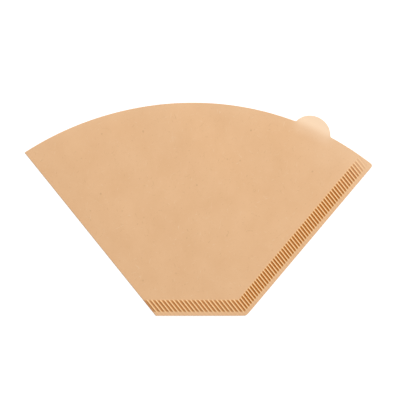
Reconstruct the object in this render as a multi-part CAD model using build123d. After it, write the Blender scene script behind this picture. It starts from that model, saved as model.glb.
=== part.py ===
from build123d import *
import os
from math import cos, radians, sin, tan

# Cone coffee filter lying flat, in millimetres and degrees. One sheet of paper is folded over along the
# left edge, crimped shut along the bottom and right edges, and open along its curved rim.
# The lower ply lies on the XY plane, the rim faces +Y and the upper ply faces +Z.

# Fan outline: bottom edge, fold and seam leaning outwards from its two ends, and a rim of two arcs that
# meet at its top, which is given from the fold's upper end and from the middle of the bottom edge
BASE_WIDTH = 42.9
FOLD_LENGTH = 99.2
FOLD_LEAN = 51.2
SEAM_LENGTH = 93.2
SEAM_LEAN = 49.9
RIM_RISE = 23.5
RIM_TOP_OFFSET = 3.5
SEAM_FOOT_RADIUS = 3.0
SEAM_TOP_RADIUS = 1.2

# Paper, and the flat left between the two rounded edges of the fold
PAPER = 0.2
FOLD_FLAT = 0.04

# Lifting tab on the rim of the upper ply: a disc that is sunk a little below the rim
TAB_RADIUS = 9.6
TAB_SINK = 3.8
TAB_FROM_SEAM = 33.3
TAB_SHOULDER = 1.4

# Distance between the two plies at the middle of the mouth
MOUTH_GAP = 3.0

# Crimped seam: a flat margin, the ridges, and the flat strips that part them from the pocket, fold and rim
SEAM_MARGIN = 2.0
CRIMP_BAND = 5.3
POCKET_STRIP = 0.4
FOLD_STRIP = 0.4
RIM_STRIP = 0.4

# Ridges of the crimp, parallel to the fold, and a little closer together up the side
BASE_PITCH = 1.6
SIDE_PITCH = 1.515
CRIMP_HEIGHT = 0.8
SHOULDER_HEIGHT = 0.6
CREST_WIDTH = 0.3
SHOULDER_WIDTH = 0.7
VALLEY_WIDTH = 0.25
CREST_END_RUN = 0.8
SHOULDER_END_RUN = 0.5

# Length over which the ridges grow to their full height, beside the rim
RIM_FADE = 7.5

# How far the pocket's cutting shape runs past the rim
OVERRUN = 5.0

BOTH_PLIES = 2 * PAPER
SEAM_WIDTH = SEAM_MARGIN + CRIMP_BAND + POCKET_STRIP
FOLD_DIRECTION = 180 - FOLD_LEAN
FOLD_FOOT = Vector(0, 0)
SEAM_FOOT = Vector(BASE_WIDTH, 0)


def polar(length, angle):
    return Vector(length * cos(radians(angle)), length * sin(radians(angle)))


ALONG_FOLD = polar(1, FOLD_DIRECTION)
ACROSS_FOLD = polar(1, FOLD_DIRECTION - 90)
ACROSS_SEAM = polar(1, SEAM_LEAN + 90)


def fan_outline():
    """Flat shape of one ply, and the arc of its rim from the top down to the seam."""
    fold_top = FOLD_FOOT + polar(FOLD_LENGTH, FOLD_DIRECTION)
    seam_top = SEAM_FOOT + polar(SEAM_LENGTH, SEAM_LEAN)
    rim_top = Vector(BASE_WIDTH / 2 - RIM_TOP_OFFSET, fold_top.Y + RIM_RISE)
    base = Line(FOLD_FOOT, SEAM_FOOT)
    seam = Line(SEAM_FOOT, seam_top)
    seam_rim = TangentArc(rim_top, seam_top, tangent=(1, 0))
    fold_rim = TangentArc(rim_top, fold_top, tangent=(-1, 0))
    fold = Line(fold_top, FOLD_FOOT)
    fan = make_face([base, seam, seam_rim, fold_rim, fold])
    for end, radius in ((SEAM_FOOT, SEAM_FOOT_RADIUS), (seam_top, SEAM_TOP_RADIUS)):
        fan = fillet(fan.vertices().sort_by_distance(end)[0], radius)
    return fan, seam_rim


def add_tab(fan, rim):
    """The same shape with the lifting tab on its rim."""
    root = rim.position_at(rim.length - TAB_FROM_SEAM, position_mode=PositionMode.LENGTH)
    inward = (rim.arc_center - root).normalized()
    middle = root + inward * TAB_SINK
    tabbed = fan + Pos(middle) * Circle(TAB_RADIUS)
    shoulders = tabbed.vertices().sort_by_distance(middle)[:2]
    return fillet(shoulders, TAB_SHOULDER)


def climb(start, angle, height):
    """Point where a line that leaves start at an angle reaches a height."""
    return start + polar((height - start.Y) / sin(radians(angle)), angle)


def pocket_space(rim_top, far):
    """Thin wedge under an arch: shut at the fold and at the seam, and open at the mouth."""
    shut_left = Vector(PAPER / sin(radians(FOLD_LEAN)) - SEAM_WIDTH / tan(radians(FOLD_LEAN)), SEAM_WIDTH)
    shut_right = SEAM_FOOT + polar(SEAM_WIDTH / cos(radians(SEAM_LEAN / 2)), 90 + SEAM_LEAN / 2)
    far_left = climb(shut_left, FOLD_DIRECTION, far)
    far_right = climb(shut_right, SEAM_LEAN, far)
    far_gap = MOUTH_GAP * (far - SEAM_WIDTH) / (rim_top - SEAM_WIDTH)
    crown = (far_left + far_right) / 2 + Vector(0, 0, far_gap)
    shut_end = Line(shut_left, shut_right)
    arch = ThreePointArc(far_left, crown, far_right)
    roof = Face.make_surface_from_curves(shut_end.edge(), arch.edge())
    floor = make_face(Polyline(shut_left, shut_right, far_right, far_left, close=True)).face()
    mouth = make_face([arch, Line(far_right, far_left)]).face()
    return Solid(Shell([roof, floor, mouth]))


def seam_point(from_fold, inset, height):
    """Point on a line parallel to the fold, at an inset from the bottom edge or the seam edge there."""
    line_start = ACROSS_FOLD * from_fold
    to_base_inset = (inset - line_start.Y) / ALONG_FOLD.Y
    to_seam_inset = (inset - (line_start - SEAM_FOOT).dot(ACROSS_SEAM)) / ALONG_FOLD.dot(ACROSS_SEAM)
    return line_start + ALONG_FOLD * max(to_base_inset, to_seam_inset) + Vector(0, 0, height)


def ridge_level(from_fold, width, end_run, height):
    """Level cut through a ridge: its width, and how far its ends are drawn in from the band's sides."""
    near, far = SEAM_MARGIN + end_run, SEAM_MARGIN + CRIMP_BAND - end_run
    left, right = from_fold - width / 2, from_fold + width / 2
    corners = [(left, near), (right, near), (right, far), (left, far)]
    return make_face(Polyline(*[seam_point(*corner, height) for corner in corners], close=True))


def crimp_ridge(from_fold, growth):
    """Hipped ridge, with a shoulder on its way up to a narrow crest."""
    foot = ridge_level(from_fold, min(BASE_PITCH, SIDE_PITCH) - VALLEY_WIDTH, 0, 0)
    shoulder = ridge_level(from_fold, SHOULDER_WIDTH, SHOULDER_END_RUN, SHOULDER_HEIGHT * growth)
    crest = ridge_level(from_fold, CREST_WIDTH, CREST_END_RUN, CRIMP_HEIGHT * growth)
    return loft([foot, shoulder, crest], ruled=True)


def crimp_ridges():
    """All ridges of the seam, from the fold round the bottom corner and up to the rim."""
    corner = SEAM_FOOT.dot(ACROSS_FOLD)
    band_end = SEAM_FOOT + polar(SEAM_LENGTH - RIM_STRIP, SEAM_LEAN) + ACROSS_SEAM * (SEAM_MARGIN + CRIMP_BAND)
    end = band_end.dot(ACROSS_FOLD)
    places = [FOLD_STRIP + BASE_PITCH / 2]
    while places[-1] < corner:
        places.append(places[-1] + BASE_PITCH)
    while places[-1] + 2 * SIDE_PITCH < end:
        places.append(places[-1] + SIDE_PITCH)
    return [crimp_ridge(place, min(1, (end - place) / RIM_FADE)) for place in places]


def folded_sheet():
    fan, rim = fan_outline()
    tabbed = add_tab(fan, rim)
    lower_ply = extrude(fan, PAPER)
    upper_ply = Pos(0, 0, PAPER) * extrude(tabbed, PAPER)

    # The upper ply arches over the pocket, and the seam stays flat
    far = tabbed.bounding_box().max.Y + OVERRUN
    space = pocket_space(fan.bounding_box().max.Y, far)
    arched_ply = Pos(0, 0, BOTH_PLIES) * space & extrude(tabbed, BOTH_PLIES + far)
    sheet = lower_ply + upper_ply + arched_ply - Pos(0, 0, PAPER) * space
    fold_edges = sheet.edges().filter_by(Axis(FOLD_FOOT, ALONG_FOLD)).sort_by_distance(FOLD_FOOT)[:2]
    sheet = fillet(fold_edges, PAPER - FOLD_FLAT / 2)

    # Each ridge is pressed up through both plies, so it is hollow underneath
    ridges = crimp_ridges()
    sheet = sheet + [Pos(0, 0, BOTH_PLIES) * ridge for ridge in ridges]
    sheet = sheet - ridges

    middle = tabbed.bounding_box().center()
    return Pos(-middle.X, -middle.Y, 0) * sheet


os.makedirs("parts", exist_ok=True)
export_step(folded_sheet(), "parts/paper_filter.step")
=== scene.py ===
import math

import bmesh
import bpy
import numpy as np
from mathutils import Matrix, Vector


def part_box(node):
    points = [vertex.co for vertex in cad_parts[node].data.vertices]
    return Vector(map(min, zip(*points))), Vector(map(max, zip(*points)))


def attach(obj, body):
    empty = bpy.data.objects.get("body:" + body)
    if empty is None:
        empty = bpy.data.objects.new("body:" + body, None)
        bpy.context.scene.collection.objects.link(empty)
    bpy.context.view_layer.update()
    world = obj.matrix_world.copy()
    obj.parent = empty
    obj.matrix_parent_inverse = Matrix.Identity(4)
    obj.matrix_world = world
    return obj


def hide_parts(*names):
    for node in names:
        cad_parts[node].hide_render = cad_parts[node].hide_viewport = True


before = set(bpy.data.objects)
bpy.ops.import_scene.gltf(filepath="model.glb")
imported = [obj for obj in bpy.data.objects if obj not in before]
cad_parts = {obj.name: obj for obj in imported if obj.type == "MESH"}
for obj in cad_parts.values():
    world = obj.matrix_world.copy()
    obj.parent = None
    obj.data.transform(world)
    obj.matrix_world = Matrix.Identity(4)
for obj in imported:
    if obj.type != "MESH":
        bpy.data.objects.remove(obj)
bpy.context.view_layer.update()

# Cone coffee filter lying flat. One blank of brown paper is folded over along its left edge, crimped shut
# along the bottom and right edges, and open along its curved rim. Lengths are in metres.
MM = 0.001

# Fan outline of one ply: bottom edge, fold and crimped side leaning outwards, and a rim of two arcs that
# meet at its top, which is given from the fold's upper end and from the middle of the bottom edge
BASE_WIDTH = 42.9 * MM
FOLD_LENGTH = 99.2 * MM
FOLD_LEAN = math.radians(51.2)
SIDE_LENGTH = 93.2 * MM
SIDE_LEAN = math.radians(49.9)
RIM_RISE = 23.5 * MM
RIM_TOP_OFFSET = 3.5 * MM
CORNER_RADIUS = 1.2 * MM
FOOT_ROUNDING = 0.64 * MM

# Paper, and the inner radius of its fold
PAPER = 0.2 * MM
FOLD_INNER_RADIUS = 0.04 * MM

# Lifting tab on the rim of the upper ply
TAB_RADIUS = 9.6 * MM
TAB_SINK = 3.8 * MM
TAB_FROM_SIDE = 33.3 * MM
TAB_SHOULDER = 1.4 * MM
TAB_CURL = 0.35 * MM

# How far the plies stand apart at the middle of the mouth, and the length over which they leave the seam
MOUTH_GAP = 2.5 * MM
SEAM_RELEASE = 9.0 * MM

# Crimped seam: a flat margin, the ridges parallel to the fold, and the flat strips beside them. The ridges
# end over short runs, leave a weak ripple in the margin, and fade out beside the rim
SEAM_MARGIN = 2.0 * MM
CRIMP_BAND = 5.3 * MM
POCKET_STRIP = 0.4 * MM
FOLD_STRIP = 0.6 * MM
RIM_STRIP = 0.4 * MM
BASE_PITCH = 1.6 * MM
SIDE_PITCH = 1.515 * MM
CRIMP_HEIGHT = 0.5 * MM
CREST_SHARPNESS = 1.3
MARGIN_RIPPLE = 0.16
MARGIN_END_RUN = 0.8 * MM
POCKET_END_RUN = 0.5 * MM
SIDE_WIDENING = 0.25 * MM
RIM_FADE = 7.5 * MM
SEAM_WIDTH = SEAM_MARGIN + CRIMP_BAND + POCKET_STRIP

# The crimp is a little weaker beside the fold, and along the bottom than up the side
FOLD_FIRMNESS = 0.8
FOLD_FADE = 4.5 * MM
BOTTOM_FIRMNESS = 0.82
TURN_BEFORE_FOOT = 4 * MM
TURN_AFTER_FOOT = 6 * MM

# Uneven pressing from ridge to ridge: share of the height, and angle from one ridge to the next
UNEVEN_PRESS = ((0.05, 2.4), (0.03, 0.7))

# Slow waves of the loose upper ply: share of its lift, lengths in X and Y, and starting angle
BUCKLES = ((0.10, 9 * MM, 17 * MM, 0.8), (0.07, 14 * MM, -8 * MM, 2.1), (0.05, 5.5 * MM, 7 * MM, 4.0))

# Painted highlight and shade on the crimp: each ridge is painted pale from its top, halfway across its
# pitch, down its far side that faces the lamp, and less so along the bottom. The grooves are painted deep
# brown, mostly painted shade and partly the pressed paper's darker tone. Both reach a little past the band
# and end softly
HIGHLIGHT_RISE = (0.40, 0.51)
HIGHLIGHT_FALL = (0.70, 0.90)
BOTTOM_HIGHLIGHT = 0.8
HIGHLIGHT_OVERHANG = 0.35 * MM
GROOVE_OVERHANG = 0.1 * MM
BAND_BLUR = 0.3 * MM

# Painted light from behind: the tab's single ply, and weakly the rim and beside the tab, are painted paler
# for the light that shines through them: its shares, the distances past the rim between which it grows,
# and how it spreads along the rim, from the tab's middle
RIM_GLOW = 0.08
RIM_GLOW_SPAN = (-6.5 * MM, -1.0 * MM)
SIDE_GLOW = 0.14
SIDE_GLOW_SPAN = (-26.0 * MM, -2.0 * MM)
SIDE_GLOW_SPREAD = (10.0 * MM, -12.0 * MM)
TAB_GLOW = 0.7
TAB_GLOW_SPAN = (-2.2 * MM, 2.4 * MM)
TAB_GLOW_BLUR = 3.0 * MM
TAB_ROOT_GLOW = 0.22

# Mesh of the blank: steps in one ridge, round the fold, over the pocket and up the tab, how close points
# are merged, how close to the rim's line an edge counts as rim, and the bend up to which shading is smooth
RIDGE_STEPS = 8
FOLD_STEPS = 8
POCKET_ROWS = 16
TAB_ROWS = 8
MERGE_DISTANCE = 0.001 * MM
RIM_TOLERANCE = 0.005 * MM
SMOOTH_BEND = math.radians(60)

# Rows of the blank's seam in millimetres from its edge, closest where the ridges start and end
MARGIN_ROWS = [0, 0.6, 1.15, 1.45, 1.75, 2.05, 2.35, 2.65, 2.95]
SEAM_ROWS = MARGIN_ROWS + [3.8, 5.5, 6.4, 6.75, 7.05, 7.35, 7.65, 7.95, 8.3]

# Colours of the paper, of its painted highlight, painted shade and painted backlight, and of the table top
# and its lightening towards white
PAPER_SHADES = ((0.793, 0.477, 0.255, 1), (0.831, 0.515, 0.285, 1))
PALE_FIBRE = (0.86, 0.60, 0.37, 1)
DARK_FIBRE = (0.56, 0.31, 0.15, 1)
SPECK = (0.40, 0.20, 0.09, 1)
CREST_HIGHLIGHT_SHADE = (1.0, 0.66, 0.335, 1)
GROOVE_SHADOW_AND_TONE = (0.50, 0.181, 0.032, 1)
BACKLIT_PLY_SHADE = (1.0, 0.735, 0.505, 1)
TABLE_SHADE = (0.72, 0.72, 0.72, 1)
TABLE_LIGHTENING = 0.55

# Light: the room all round, and one soft lamp from the upper right
ROOM_LIGHT = 0.36
LAMP_PLACE = Vector((0.29, 0.70, 1.12))
LAMP_SIZE = 0.8
LAMP_POWER = 14.6

# Grain of the paper: size, detail and roughness of its clouds, its fine tooth and its soft felt, the span of
# a grain's values, the relief that tooth and felt give, and how matt and how glossy the paper is
CLOUD_GRAIN = (14 * MM, 4.0, 0.6)
TOOTH_GRAIN = (0.35 * MM, 4.0, 0.65)
FELT_GRAIN = (2.5 * MM, 3.0, 0.55)
GRAIN_SPAN = (0.3, 0.7)
RELIEF_STRENGTH = 0.2
RELIEF_DEPTH = 0.06 * MM
PAPER_MATTNESS = (0.82, 0.95)
PAPER_GLOSS = 0.25

# Fibres on the paper: turn in degrees, width and length, their shares, and the values at which they show
PALE_FIBRES = ((22, 0.45 * MM, 3.2 * MM), (81, 0.5 * MM, 3.8 * MM), (143, 0.45 * MM, 2.8 * MM))
DARK_FIBRES = ((48, 0.45 * MM, 2.6 * MM), (108, 0.5 * MM, 3.0 * MM), (171, 0.45 * MM, 2.2 * MM))
PALE_FIBRE_SHARE = 0.9
DARK_FIBRE_SHARE = 0.5
FIBRE_START = 0.68
FIBRE_FULL = 0.80

# Specks between the fibres: distance apart, radius and the full core's share of it, share of places left
# empty, and how dark they are
SPECK_SPACING = 5.0 * MM
SPECK_RADIUS = 0.6 * MM
SPECK_CORE = 0.3
SPECK_RARITY = 0.75
SPECK_SHARE = 0.3

# Table top, and the air under the sheet, so that the two don't share a plane
TABLE_SIZE = 6.0
TABLE_GAP = 0.02 * MM

# Camera: focal length in millimetres, width and middle of its view, and the nearest that it sees
CAMERA_LENS = 200.0
VIEW_WIDTH = 189.4 * MM
VIEW_MIDDLE = Vector((0.83 * MM, 4.42 * MM, 0.5 * MM))
NEAREST_SEEN = 10 * MM

# The blank's own frame: across the fold, and along the fold from its foot
BASE_ANGLE = FOLD_LEAN - math.pi / 2
SIDE_ANGLE = FOLD_LEAN + SIDE_LEAN - math.pi / 2
BASE_DIRECTION = np.array([math.cos(BASE_ANGLE), math.sin(BASE_ANGLE)])
SIDE_DIRECTION = np.array([math.cos(SIDE_ANGLE), math.sin(SIDE_ANGLE)])
SIDE_NORMAL = np.array([-math.sin(SIDE_ANGLE), math.cos(SIDE_ANGLE)])
BASE_NORMAL = np.array([-math.sin(BASE_ANGLE), math.cos(BASE_ANGLE)])
SIDE_FOOT = BASE_DIRECTION * BASE_WIDTH
SIDE_TOP = SIDE_FOOT + SIDE_DIRECTION * SIDE_LENGTH
FOLD_TOP = np.array([0.0, FOLD_LENGTH])
RIM_HEIGHT = FOLD_LENGTH * math.sin(FOLD_LEAN) + RIM_RISE
RIM_TOP = BASE_DIRECTION * (BASE_WIDTH / 2 - RIM_TOP_OFFSET) + BASE_NORMAL * RIM_HEIGHT
FOLD_CENTRE = PAPER + FOLD_INNER_RADIUS
HALF_FOLD = math.pi / 2 * FOLD_INNER_RADIUS
CRIMP_END = ((SIDE_TOP - SIDE_DIRECTION * RIM_STRIP) + SIDE_NORMAL * (SEAM_MARGIN + CRIMP_BAND))[0]
BOTTOM_RIDGES = math.ceil((SIDE_FOOT[0] - FOLD_STRIP) / BASE_PITCH - 0.5)
RIDGE_TURN = FOLD_STRIP + (BOTTOM_RIDGES + 0.5) * BASE_PITCH


def smooth_step(low, high, value):
    """Soft step from 0 at one value to 1 at another."""
    share = np.clip((value - low) / (high - low), 0, 1)
    return share * share * (3 - 2 * share)


def rim_arc(end):
    """Middle and radius of the arc that leaves the rim's top level and runs to an end of the rim."""
    reach = end - RIM_TOP
    radius = reach @ reach / (2 * -(reach @ BASE_NORMAL))
    return RIM_TOP - BASE_NORMAL * radius, radius


RIM_CENTRE, RIM_RADIUS = rim_arc(SIDE_TOP)
FOLD_RIM_CENTRE, FOLD_RIM_RADIUS = rim_arc(FOLD_TOP)


def corner_centre():
    """Middle of the round corner between the crimped side and the rim."""
    start = SIDE_FOOT + SIDE_NORMAL * CORNER_RADIUS - RIM_CENTRE
    reach = RIM_RADIUS - CORNER_RADIUS
    along_side = start @ SIDE_DIRECTION
    run = math.sqrt(along_side**2 - start @ start + reach**2) - along_side
    return RIM_CENTRE + start + SIDE_DIRECTION * run


CORNER = corner_centre()


def corner_rise(across):
    """Half the height of the round corner at a distance from the fold."""
    return np.sqrt(np.maximum(CORNER_RADIUS**2 - (across - CORNER[0]) ** 2, 0))


def seam_line(across, inset):
    """Line that runs at an inset inside the bottom edge and the crimped side."""
    base = across * math.tan(BASE_ANGLE) + inset / math.cos(BASE_ANGLE)
    side = SIDE_FOOT[1] + (across - SIDE_FOOT[0]) * math.tan(SIDE_ANGLE) + inset / math.cos(SIDE_ANGLE)
    return (base + side + np.sqrt((base - side) ** 2 + FOOT_ROUNDING**2)) / 2


def lower_edge(across):
    """Bottom edge and crimped side, up into the round corner."""
    edge = seam_line(across, 0)
    tangent = CORNER[0] + CORNER_RADIUS * math.sin(SIDE_ANGLE)
    return np.where(across > tangent, CORNER[1] - corner_rise(across), edge)


def arc_height(across, centre, radius):
    return centre[1] + np.sqrt(np.maximum(radius**2 - (across - centre[0]) ** 2, 0))


def rim_edge(across):
    """Both arcs of the rim, down into the round corner."""
    arc = np.where(
        across < RIM_TOP[0],
        arc_height(across, FOLD_RIM_CENTRE, FOLD_RIM_RADIUS),
        arc_height(across, RIM_CENTRE, RIM_RADIUS),
    )
    outward = (CORNER - RIM_CENTRE) / np.linalg.norm(CORNER - RIM_CENTRE)
    tangent = CORNER[0] + CORNER_RADIUS * outward[0]
    return np.where(across > tangent, CORNER[1] + corner_rise(across), arc)


def blank_columns():
    """Distances from the fold, lower ply first, as they lie in the flat blank."""
    end = CORNER[0] + CORNER_RADIUS
    bottom = np.linspace(FOLD_STRIP, RIDGE_TURN, round((BOTTOM_RIDGES + 0.5) * RIDGE_STEPS), endpoint=False)
    step = SIDE_PITCH / RIDGE_STEPS
    side = np.arange(RIDGE_TURN, end - step / 2, step)
    ply = np.concatenate([bottom, side, [end]]) - FOLD_CENTRE + HALF_FOLD
    fold = np.linspace(-HALF_FOLD, HALF_FOLD, FOLD_STEPS)
    return np.concatenate([-ply[::-1], fold, ply])


def fold_turn(flat_across):
    """Angle round the fold of a point in the flat blank, a quarter turn down to a quarter turn up."""
    return np.clip(flat_across / HALF_FOLD, -1, 1) * math.pi / 2


def from_fold(flat_across):
    """Distance from the fold, once folded, of a point in the flat blank."""
    return FOLD_CENTRE + np.maximum(np.abs(flat_across) - HALF_FOLD, 0)


def past_rim(across, along):
    """Distance out past the rim, less than nothing inside it."""
    from_side_arc = np.hypot(across - RIM_CENTRE[0], along - RIM_CENTRE[1]) - RIM_RADIUS
    from_fold_arc = np.hypot(across - FOLD_RIM_CENTRE[0], along - FOLD_RIM_CENTRE[1]) - FOLD_RIM_RADIUS
    to_right = (across - RIM_TOP[0]) * BASE_DIRECTION[0] + (along - RIM_TOP[1]) * BASE_DIRECTION[1]
    return np.where(to_right > 0, from_side_arc, from_fold_arc)


def tab_middle_angle():
    """Direction of the tab's middle from the centre of the rim's arc."""
    to_side_top = SIDE_TOP - RIM_CENTRE
    return math.atan2(to_side_top[1], to_side_top[0]) + TAB_FROM_SIDE / RIM_RADIUS


def beside_tab(across, along):
    """Distance along the rim from the tab's middle."""
    angle = np.arctan2(along - RIM_CENTRE[1], across - RIM_CENTRE[0])
    return (angle - tab_middle_angle()) * RIM_RADIUS


def tab_shoulder_place():
    """Distance from the tab's middle at which its shoulders run into the rim."""
    return math.sqrt((TAB_RADIUS + TAB_SHOULDER) ** 2 - (TAB_SINK + TAB_SHOULDER) ** 2)


def tab_height(beside):
    """How far the tab stands out past the rim: a disc with a hollow shoulder on either side."""
    beside = np.abs(beside)
    shoulder = tab_shoulder_place()
    disc = np.sqrt(np.maximum(TAB_RADIUS**2 - beside**2, 0)) - TAB_SINK + beside**2 / (2 * RIM_RADIUS)
    hollow = TAB_SHOULDER - np.sqrt(np.maximum(TAB_SHOULDER**2 - (beside - shoulder) ** 2, 0))
    meeting = shoulder * TAB_RADIUS / (TAB_RADIUS + TAB_SHOULDER)
    return np.where(beside < meeting, disc, np.where(beside < shoulder, hollow, 0))


def read_places(mesh):
    places = np.empty(len(mesh.vertices) * 3, np.float32)
    mesh.vertices.foreach_get("co", places)
    return places.reshape(-1, 3).astype(float)


def write_places(mesh, places):
    mesh.vertices.foreach_set("co", places.astype(np.float32).ravel())
    mesh.update()


def lay_out_blank(blank):
    """Spreads the grid over the fan outline of the two plies."""
    columns = blank_columns()
    rows = len(SEAM_ROWS) + POCKET_ROWS
    places = read_places(blank.data)
    column = np.rint((places[:, 0] + 0.5) * (len(columns) - 1)).astype(int)
    row = np.rint((places[:, 1] + 0.5) * (rows - 1)).astype(int)
    across = from_fold(columns[column])
    across = across - (FOLD_INNER_RADIUS + PAPER / 2) * np.cos(fold_turn(columns[column]))
    low, high = lower_edge(across), rim_edge(across)
    row_insets = np.array(SEAM_ROWS) * MM
    inset = row_insets[np.minimum(row, len(row_insets) - 1)]
    along = np.where(row == 0, low, np.clip(seam_line(across, inset), low, high))
    share = np.maximum(row - len(row_insets) + 1, 0) / POCKET_ROWS
    places[:, 0] = columns[column]
    places[:, 1] = along + (high - along) * share
    write_places(blank.data, places)


def select_tab_root(blank):
    """Selects the rim edges of the upper ply from which the tab grows."""
    form = bmesh.from_edit_mesh(blank.data)
    for edge in form.edges:
        middle = (edge.verts[0].co + edge.verts[1].co) / 2
        across = from_fold(middle.x)
        on_rim = len(edge.link_faces) == 1 and abs(past_rim(across, middle.y)) < RIM_TOLERANCE
        near_tab = abs(beside_tab(across, middle.y)) < tab_shoulder_place()
        edge.select_set(bool(on_rim and near_tab and middle.x > 0))
    bmesh.update_edit_mesh(blank.data)


def grow_tab(blank):
    """Extrudes the selected rim edges out to the tab's outline, row by row."""
    for _ in range(TAB_ROWS):
        bpy.ops.mesh.extrude_edges_move(TRANSFORM_OT_translate={"value": (0, 0, 0)})
        form = bmesh.from_edit_mesh(blank.data)
        for corner in (vert for vert in form.verts if vert.select):
            across = from_fold(corner.co.x)
            outward = Vector((across - RIM_CENTRE[0], corner.co.y - RIM_CENTRE[1], 0)).normalized()
            corner.co += outward * float(tab_height(beside_tab(across, corner.co.y))) / TAB_ROWS
        bmesh.update_edit_mesh(blank.data)


def cut_blank():
    """The flat blank, cut from paper: both plies side by side, with the tab on the upper one."""
    bpy.ops.object.select_all(action="DESELECT")
    bpy.ops.mesh.primitive_grid_add(
        x_subdivisions=len(blank_columns()) - 1,
        y_subdivisions=len(SEAM_ROWS) + POCKET_ROWS - 1,
        size=1,
    )
    blank = bpy.context.object
    blank.name = "filter_sheet"
    lay_out_blank(blank)
    bpy.ops.object.mode_set(mode="EDIT")
    bpy.ops.mesh.select_all(action="SELECT")
    bpy.ops.mesh.remove_doubles(threshold=MERGE_DISTANCE)
    bpy.ops.mesh.select_all(action="DESELECT")
    bpy.ops.mesh.select_mode(type="EDGE")
    select_tab_root(blank)
    grow_tab(blank)
    bpy.ops.mesh.select_mode(type="VERT")
    bpy.ops.mesh.select_all(action="SELECT")
    bpy.ops.mesh.remove_doubles(threshold=MERGE_DISTANCE)
    bpy.ops.mesh.normals_make_consistent(inside=False)
    bpy.ops.object.mode_set(mode="OBJECT")
    return blank


def blank_size(blank):
    """Width, length and area of the blank as it was cut."""
    spread = np.ptp(read_places(blank.data), axis=0)
    return float(spread[0]), float(spread[1]), sum(face.area for face in blank.data.polygons)


def give_thickness(blank):
    """Solid paper: the inner face stays at zero, the outer face lies one thickness above."""
    solid = blank.modifiers.new("paper thickness", "SOLIDIFY")
    solid.thickness = PAPER
    solid.offset = 1
    bpy.ops.object.modifier_apply(modifier=solid.name)


def up_the_side(across):
    """0 along the bottom edge, 1 up the crimped side."""
    return smooth_step(SIDE_FOOT[0] - TURN_BEFORE_FOOT, SIDE_FOOT[0] + TURN_AFTER_FOOT, across)


def firmness(across):
    """The crimp is weak beside the fold, where the paper is stiff, and firmest up the side."""
    beside_fold = FOLD_FIRMNESS + (1 - FOLD_FIRMNESS) * smooth_step(0, FOLD_FADE, across)
    return beside_fold * (BOTTOM_FIRMNESS + (1 - BOTTOM_FIRMNESS) * up_the_side(across))


def band_end(across):
    """Inset at which the crimped band ends, a little further in up the side."""
    return SEAM_MARGIN + CRIMP_BAND + SIDE_WIDENING * up_the_side(across)


def rim_growth(across):
    """The crimp grows from nothing at the rim to its full strength."""
    return np.clip((CRIMP_END - across) / RIM_FADE, 0, 1)


def ridge_count(across):
    """Ridges passed on the way from the fold. A crest lies halfway between two whole numbers."""
    bottom = np.clip(across - FOLD_STRIP, 0, RIDGE_TURN - FOLD_STRIP) / BASE_PITCH
    return bottom + np.maximum(across - RIDGE_TURN, 0) / SIDE_PITCH


def crimp_height(across, inset):
    """Ridges pressed through both plies. They fade out towards the rim and at both sides of the band."""
    ridge = ridge_count(across)
    crest = (0.5 - 0.5 * np.cos(2 * math.pi * ridge)) ** CREST_SHARPNESS
    press = 1 + sum(share * np.sin(np.floor(ridge) * step) for share, step in UNEVEN_PRESS)
    near = smooth_step(SEAM_MARGIN, SEAM_MARGIN + MARGIN_END_RUN, inset)
    near = MARGIN_RIPPLE + (1 - MARGIN_RIPPLE) * near
    far = smooth_step(0, POCKET_END_RUN, band_end(across) - inset)
    return CRIMP_HEIGHT * firmness(across) * press * crest * rim_growth(across) * near * far


def in_band(across, inset, overhang):
    """1 in the crimped band and 0 outside it. The overhang lets it reach past the band's two sides."""
    start, end = SEAM_MARGIN - overhang, band_end(across) + overhang
    near = smooth_step(start - BAND_BLUR, start + BAND_BLUR, inset)
    far = smooth_step(-BAND_BLUR, BAND_BLUR, end - inset)
    return near * far * rim_growth(across)


def crimp_shades(across, inset):
    """Shares of painted groove shade, partly the pressed paper's darker tone, and of painted highlight on
    the crests' lit side.
    """
    place = (ridge_count(across) - HIGHLIGHT_RISE[0]) % 1 + HIGHLIGHT_RISE[0]
    pale = smooth_step(*HIGHLIGHT_RISE, place) * (1 - smooth_step(*HIGHLIGHT_FALL, place))
    highlight_strength = BOTTOM_HIGHLIGHT + (1 - BOTTOM_HIGHLIGHT) * up_the_side(across)
    # Painted shade in the grooves, partly the pressed paper's darker tone
    groove_shadow_and_tone = (1 - pale) * firmness(across) * in_band(across, inset, GROOVE_OVERHANG)
    # Painted highlight over each crest and its lit side
    crest = pale * highlight_strength * in_band(across, inset, HIGHLIGHT_OVERHANG)
    return groove_shadow_and_tone, crest


def seam_insets(across, along):
    """Distances from the bottom edge and from the crimped side."""
    from_base = (along - across * math.tan(BASE_ANGLE)) * math.cos(BASE_ANGLE)
    from_side = np.stack([across - SIDE_FOOT[0], along - SIDE_FOOT[1]], -1) @ SIDE_NORMAL
    return from_base, from_side


def mouth_gap(across, along):
    """Space under the upper ply: none at the fold and the seam, widest at the middle of the rim."""
    from_base, from_side = seam_insets(across, along)
    rise = np.clip((from_base - SEAM_WIDTH) / (RIM_HEIGHT - SEAM_WIDTH), 0, None)
    to_fold = np.maximum(across, 0) / math.sin(FOLD_LEAN)
    to_seam = np.maximum(from_side - SEAM_WIDTH, 0) / math.sin(SIDE_LEAN)
    share = to_fold / np.maximum(to_fold + to_seam, MM)
    release = smooth_step(0, SEAM_RELEASE, np.minimum(from_base, from_side) - SEAM_WIDTH)
    return MOUTH_GAP * rise * 4 * share * (1 - share) * release


def buckle(x, y):
    """Slow waves of the loose upper ply, as a share of its lift."""
    return sum(share * np.sin(x / in_x + y / in_y + start) for share, in_x, in_y, start in BUCKLES)


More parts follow.
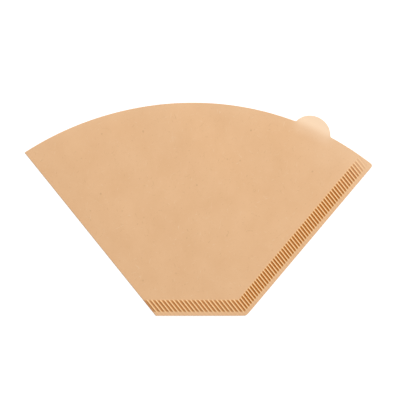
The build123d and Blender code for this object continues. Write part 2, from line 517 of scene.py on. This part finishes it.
def glow(beside, past):
    """Share of painted light from behind, by the distances from the tab's middle and past the rim."""
    by_tab = smooth_step(TAB_RADIUS + TAB_GLOW_BLUR, TAB_RADIUS - TAB_GLOW_BLUR, np.abs(beside))
    on_tab = by_tab * smooth_step(*TAB_GLOW_SPAN, past)
    rim = (RIM_GLOW + TAB_ROOT_GLOW * by_tab) * smooth_step(*RIM_GLOW_SPAN, past)
    side = SIDE_GLOW * smooth_step(*SIDE_GLOW_SPREAD, beside) * smooth_step(*SIDE_GLOW_SPAN, past)
    return rim + TAB_GLOW * on_tab + side * (1 - on_tab)


def fold_foot():
    """Where the fold meets the bottom edge, from the box of the solid that the sheet stands for."""
    low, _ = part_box("paper_filter")
    return low.x + FOLD_LENGTH * math.cos(FOLD_LEAN), low.y


def set_attribute(mesh, name, values):
    layer = mesh.attributes.new(name, "FLOAT", "POINT")
    layer.data.foreach_set("value", values.astype(np.float32))


def fold_and_crimp(sheet):
    """Folds the blank over, presses the seam and lifts the mouth."""
    flat = read_places(sheet.data)
    turn = fold_turn(flat[:, 0])
    radius = FOLD_INNER_RADIUS + flat[:, 2]
    along = flat[:, 1]
    ply_across = from_fold(flat[:, 0])
    across = ply_across - radius * np.cos(turn)
    upper = flat[:, 0] > 0
    height = FOLD_CENTRE + radius * np.sin(turn)

    inset = np.minimum(*seam_insets(ply_across, along))
    crimp = crimp_height(ply_across, inset)
    beside, past = beside_tab(ply_across, along), past_rim(ply_across, along)
    tilt = math.pi / 2 - FOLD_LEAN
    foot_x, foot_y = fold_foot()
    x = foot_x + across * math.cos(tilt) - along * math.sin(tilt)
    y = foot_y + across * math.sin(tilt) + along * math.cos(tilt)
    lift = mouth_gap(ply_across, along) * (1 + buckle(x, y))
    lift = lift + TAB_CURL * np.clip(past / (TAB_RADIUS - TAB_SINK), 0, 1) ** 2
    height = height + crimp + np.where(upper, lift, 0)
    write_places(sheet.data, np.stack([x, y, height], -1))

    # Painted shade in the grooves, and under the lower ply in the hollows of its ridges; a painted highlight
    # on the ridges' lit side; painted light from behind on the tab and rim
    groove_shadow_and_tone, crest = crimp_shades(ply_across, inset)
    set_attribute(sheet.data, "groove_shadow_and_tone", np.where(upper, groove_shadow_and_tone, crimp / CRIMP_HEIGHT))
    set_attribute(sheet.data, "crest", np.where(upper, crest, 0))
    set_attribute(sheet.data, "painted_backlight", np.where(upper, glow(beside, past), 0))


def finish_mesh(sheet):
    """Turns all faces outwards and shades them smooth, apart from the cut edges."""
    bpy.ops.object.mode_set(mode="EDIT")
    bpy.ops.mesh.select_all(action="SELECT")
    bpy.ops.mesh.normals_make_consistent(inside=False)
    bpy.ops.mesh.select_all(action="DESELECT")
    bpy.ops.object.mode_set(mode="OBJECT")
    bpy.ops.object.shade_smooth_by_angle(angle=SMOOTH_BEND)


def add_node(tree, kind, inputs=None, **settings):
    node = tree.nodes.new(kind)
    for name, value in settings.items():
        setattr(node, name, value)
    for name, value in (inputs or {}).items():
        if isinstance(value, bpy.types.NodeSocket):
            tree.links.new(value, node.inputs[name])
        else:
            node.inputs[name].default_value = value
    return node


def mix_colour(tree, factor, first, second):
    """Sockets 0, 6 and 7 of the Mix node are its factor and its two colours, and output 2 is the colour."""
    return add_node(tree, "ShaderNodeMix", {0: factor, 6: first, 7: second}, data_type="RGBA").outputs[2]


def calculate(tree, operation, first, second):
    return add_node(tree, "ShaderNodeMath", {0: first, 1: second}, operation=operation).outputs[0]


def between(tree, value, low, high, to_low=0.0, to_high=1.0):
    """Turns one span of values into another, and stays inside it."""
    limits = {"Value": value, "From Min": low, "From Max": high, "To Min": to_low, "To Max": to_high}
    return add_node(tree, "ShaderNodeMapRange", limits, clamp=True).outputs["Result"]


def noise(tree, place, size, detail=2.0, roughness=0.5):
    settings = {"Vector": place, "Scale": 1 / size, "Detail": detail, "Roughness": roughness}
    return add_node(tree, "ShaderNodeTexNoise", settings).outputs["Fac"]


def strands(tree, place, turn, width, length):
    """Scattered fibres of one direction, as a mask."""
    lie = {"Vector": place, "Rotation": (0, 0, math.radians(turn)), "Scale": (length / width, 1, 1)}
    stretched = add_node(tree, "ShaderNodeMapping", lie, vector_type="TEXTURE").outputs["Vector"]
    return between(tree, noise(tree, stretched, width), FIBRE_START, FIBRE_FULL)


def flecks(tree, place):
    """Small round specks, in some of the cells of a loose pattern."""
    cells = add_node(tree, "ShaderNodeTexVoronoi", {"Vector": place, "Scale": 1 / SPECK_SPACING})
    chance = add_node(tree, "ShaderNodeSeparateColor", {"Color": cells.outputs["Color"]}).outputs["Red"]
    chosen = calculate(tree, "GREATER_THAN", chance, SPECK_RARITY)
    edge = SPECK_RADIUS / SPECK_SPACING
    spot = between(tree, cells.outputs["Distance"], edge, SPECK_CORE * edge)
    return calculate(tree, "MULTIPLY", chosen, spot)


def new_material(name):
    material = bpy.data.materials.new(name)
    material.use_nodes = True
    tree = material.node_tree
    tree.nodes.clear()
    output = tree.nodes.new("ShaderNodeOutputMaterial")
    return material, tree, output


def filter_paper():
    """Unbleached paper: cloudy brown with pale and dark fibres, with painted shade deeper in the grooves of
    the crimp, a painted highlight on its ridges and painted light through the tab.
    """
    material, tree, output = new_material("unbleached filter paper")
    place = add_node(tree, "ShaderNodeTexCoord").outputs["Object"]
    cloud = between(tree, noise(tree, place, *CLOUD_GRAIN), *GRAIN_SPAN)
    colour = mix_colour(tree, cloud, *PAPER_SHADES)
    for fibre in PALE_FIBRES:
        pale = calculate(tree, "MULTIPLY", strands(tree, place, *fibre), PALE_FIBRE_SHARE)
        colour = mix_colour(tree, pale, colour, PALE_FIBRE)
    for fibre in DARK_FIBRES:
        dark = calculate(tree, "MULTIPLY", strands(tree, place, *fibre), DARK_FIBRE_SHARE)
        colour = mix_colour(tree, dark, colour, DARK_FIBRE)
    speck = calculate(tree, "MULTIPLY", flecks(tree, place), SPECK_SHARE)
    colour = mix_colour(tree, speck, colour, SPECK)

    # Painted highlight on the ridges, painted shade in the grooves and painted light from behind on the tab
    for name, shade in (("crest", CREST_HIGHLIGHT_SHADE), ("groove_shadow_and_tone", GROOVE_SHADOW_AND_TONE), ("painted_backlight", BACKLIT_PLY_SHADE)):
        share = add_node(tree, "ShaderNodeAttribute", attribute_name=name).outputs["Fac"]
        colour = mix_colour(tree, share, colour, shade)

    tooth = noise(tree, place, *TOOTH_GRAIN)
    felt = noise(tree, place, *FELT_GRAIN)
    relief = calculate(tree, "ADD", tooth, felt)
    bump = {"Height": relief, "Strength": RELIEF_STRENGTH, "Distance": RELIEF_DEPTH}
    paper = {
        "Base Color": colour,
        "Roughness": between(tree, tooth, *GRAIN_SPAN, *PAPER_MATTNESS),
        "Specular IOR Level": PAPER_GLOSS,
        "Normal": add_node(tree, "ShaderNodeBump", bump).outputs["Normal"],
    }
    surface = add_node(tree, "ShaderNodeBsdfPrincipled", paper)
    tree.links.new(surface.outputs["BSDF"], output.inputs["Surface"])
    return material


def seen_directly(tree):
    """1 for what the camera sees, also in a reflection or through glass."""
    path = add_node(tree, "ShaderNodeLightPath")
    seen = calculate(tree, "MAXIMUM", path.outputs["Is Camera Ray"], path.outputs["Is Glossy Ray"])
    return calculate(tree, "MAXIMUM", seen, path.outputs["Is Transmission Ray"])


def white_table():
    """White table top, which keeps the sheet's shadow."""
    material, tree, output = new_material("white table top")
    top = add_node(tree, "ShaderNodeBsdfDiffuse", {"Color": TABLE_SHADE})
    lightened = calculate(tree, "MULTIPLY", seen_directly(tree), TABLE_LIGHTENING)
    extra = add_node(tree, "ShaderNodeEmission", {"Strength": lightened})
    both = add_node(tree, "ShaderNodeAddShader", {0: top.outputs[0], 1: extra.outputs[0]})
    tree.links.new(both.outputs[0], output.inputs["Surface"])
    return material


def lay_table():
    bpy.ops.object.select_all(action="DESELECT")
    bpy.ops.mesh.primitive_plane_add(size=TABLE_SIZE, location=(0, 0, -TABLE_GAP))
    table = bpy.context.object
    table.name = "table_top"
    table.data.materials.append(white_table())


def light_room():
    """Pale room all round, white where it is seen, and the lamp."""
    world = bpy.data.worlds.new("pale room")
    bpy.context.scene.world = world
    world.use_nodes = True
    tree = world.node_tree
    tree.nodes.clear()
    strength = between(tree, seen_directly(tree), 0, 1, ROOM_LIGHT, 1)
    room = add_node(tree, "ShaderNodeBackground", {"Color": (1, 1, 1, 1), "Strength": strength})
    output = tree.nodes.new("ShaderNodeOutputWorld")
    tree.links.new(room.outputs[0], output.inputs["Surface"])
    bpy.ops.object.light_add(type="AREA", location=LAMP_PLACE)
    lamp = bpy.context.object
    lamp.name = "softbox"
    lamp.data.size = LAMP_SIZE
    lamp.data.energy = LAMP_POWER
    lamp.rotation_mode = "QUATERNION"
    lamp.rotation_quaternion = (-LAMP_PLACE).to_track_quat("-Z", "Y")


def set_camera():
    """Straight down on the sheet, at the photograph's framing."""
    bpy.ops.object.camera_add(location=VIEW_MIDDLE, rotation=(0, 0, 0))
    camera = bpy.context.object
    camera.data.lens = CAMERA_LENS
    camera.location.z += VIEW_WIDTH * CAMERA_LENS / camera.data.sensor_width
    camera.data.clip_start = NEAREST_SEEN
    bpy.context.scene.camera = camera


sheet = cut_blank()
width, length, area = blank_size(sheet)
give_thickness(sheet)
fold_and_crimp(sheet)
finish_mesh(sheet)
sheet.data.materials.append(filter_paper())
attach(sheet, "root")
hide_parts("paper_filter")

lay_table()
light_room()
set_camera()
bpy.context.scene.view_settings.view_transform = "Standard"
